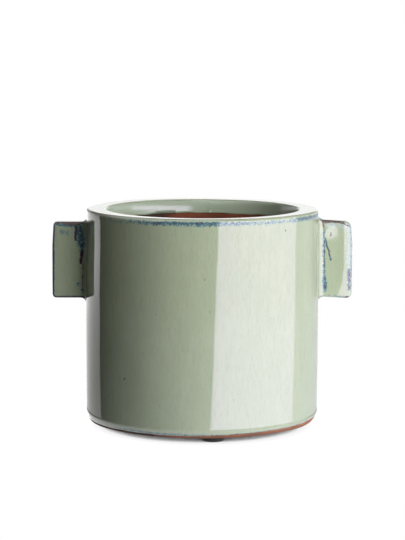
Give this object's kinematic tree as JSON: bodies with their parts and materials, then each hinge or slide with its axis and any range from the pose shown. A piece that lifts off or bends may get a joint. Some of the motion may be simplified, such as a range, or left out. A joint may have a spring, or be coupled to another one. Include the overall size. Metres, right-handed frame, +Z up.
{
  "type": "planter pot",
  "caption": "Round glazed terracotta planter pot with a thick flat rim, square slab lug handles at the sides and stick-on rubber feet.",
  "frame": {"origin": "on the ground under the middle of the pot, at the sole of the feet", "axes": "+Z up along the pot's axis, +X through the right lug, -Y the front"},
  "size_m": [0.259, 0.2, 0.188],
  "materials": {
    "glaze": "glossy sage green reactive glaze, breaking blue and brown at the edges",
    "terracotta": "bare fired red clay, matt",
    "foot_rubber": "matt dark rubber",
    "adhesive": "translucent adhesive film"
  },
  "bodies": {
    "root": {"pot_wall": "glaze", "pot_floor": "terracotta", "right_lug": "glaze", "left_lug": "glaze", "foot_pad_1": "foot_rubber", "foot_pad_2": "foot_rubber", "foot_pad_3": "foot_rubber", "foot_adhesive_1": "adhesive", "foot_adhesive_2": "adhesive", "foot_adhesive_3": "adhesive"}
  },
  "joints": []
}
